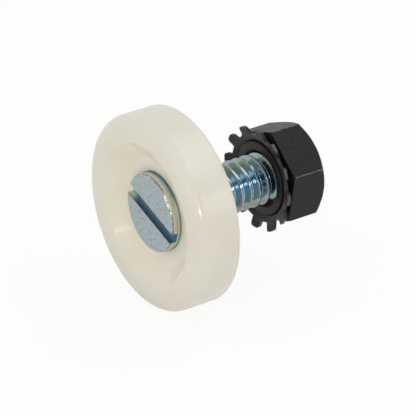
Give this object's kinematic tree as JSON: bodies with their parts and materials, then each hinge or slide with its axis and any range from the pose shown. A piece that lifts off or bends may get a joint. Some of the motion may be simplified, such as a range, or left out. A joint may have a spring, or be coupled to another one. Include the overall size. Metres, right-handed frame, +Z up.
{
  "type": "drawer roller",
  "caption": "Dished nylon roller turning on the shoulder of a slotted screw, whose threaded stud carries a hexagon nut with a captive toothed washer for fixing to a panel.",
  "frame": {"origin": "on the spin axis, in the end face of the screw's shoulder that seats on the panel", "axes": "+Y along the spin axis from the slotted head to the nut, +Z up, +X to the right when looking along +Y"},
  "size_m": [0.0238, 0.0221, 0.0238],
  "materials": {
    "nylon": "moulded natural nylon, cream and slightly translucent, soft gloss",
    "zinc_plate": "zinc plated steel with a bluish passivated sheen, satin on the head and bright on the thread",
    "black_washer": "spring steel, black oxide with a warm tone, satin",
    "black_nut": "steel, black phosphate, finely grained satin"
  },
  "bodies": {
    "shoulder_screw": {"shoulder_screw": "zinc_plate"},
    "roller": {"roller": "nylon"},
    "lock_washer": {"lock_washer": "black_washer"},
    "hex_nut": {"hex_nut": "black_nut"}
  },
  "joints": [
    {"name": "roller_spin", "type": "hinge", "parent": "shoulder_screw", "child": "roller", "pos_m": [0, -0.0032, 0], "axis": [0, 1, 0], "continuous": true},
    {"name": "nut_travel", "type": "slide", "parent": "shoulder_screw", "child": "lock_washer", "axis": [0, 1, 0], "range_m": [-0.00763, 0.00636]},
    {"name": "nut_turn", "type": "hinge", "parent": "lock_washer", "child": "hex_nut", "pos_m": [0, 0.0138, 0], "axis": [0, 1, 0], "range_deg": [-2160, 1800]}
  ],
  "couplings": [
    {"joint": "nut_travel", "follows": "nut_turn", "m_per_rad": 0.00020213}
  ]
}
